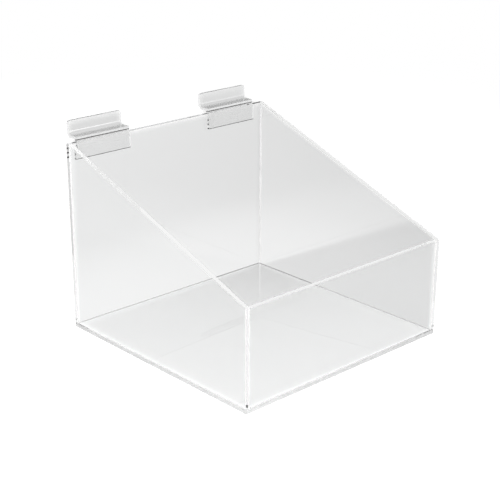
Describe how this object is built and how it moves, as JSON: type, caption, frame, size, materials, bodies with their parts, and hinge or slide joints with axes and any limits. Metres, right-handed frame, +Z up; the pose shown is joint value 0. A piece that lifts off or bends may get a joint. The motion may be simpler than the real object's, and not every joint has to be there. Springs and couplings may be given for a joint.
{
  "type": "slatwall display bin",
  "caption": "Clear acrylic open-top bin with a sloping rim and a low front, carried by two hangers whose hooks drop behind the lip of a slatted wall.",
  "frame": {"origin": "centre of the base panel's underside, on the surface that the bin stands on", "axes": "+Z up; -Y is the low front that faces the shopper; +Y is the wall side with the hangers; +X is the bin's right-hand side as seen from the front"},
  "size_m": [0.2032, 0.2155, 0.1665],
  "materials": {
    "clear_acrylic": "clear cast acrylic sheet, polished faces and rims, with the base's outer edges left as sawn",
    "cement": "cured clear solvent cement, slightly milky along the seam"
  },
  "bodies": {
    "root": {"base_panel": "clear_acrylic", "back_panel": "clear_acrylic", "front_panel": "clear_acrylic", "left_panel": "clear_acrylic", "right_panel": "clear_acrylic", "left_hanger": "clear_acrylic", "right_hanger": "clear_acrylic", "base_seam_back": "cement", "base_seam_front": "cement", "base_seam_left": "cement", "base_seam_right": "cement", "corner_seam_back_left": "cement", "corner_seam_back_right": "cement", "corner_seam_front_left": "cement", "corner_seam_front_right": "cement", "left_hanger_bond": "cement", "right_hanger_bond": "cement"}
  },
  "joints": []
}
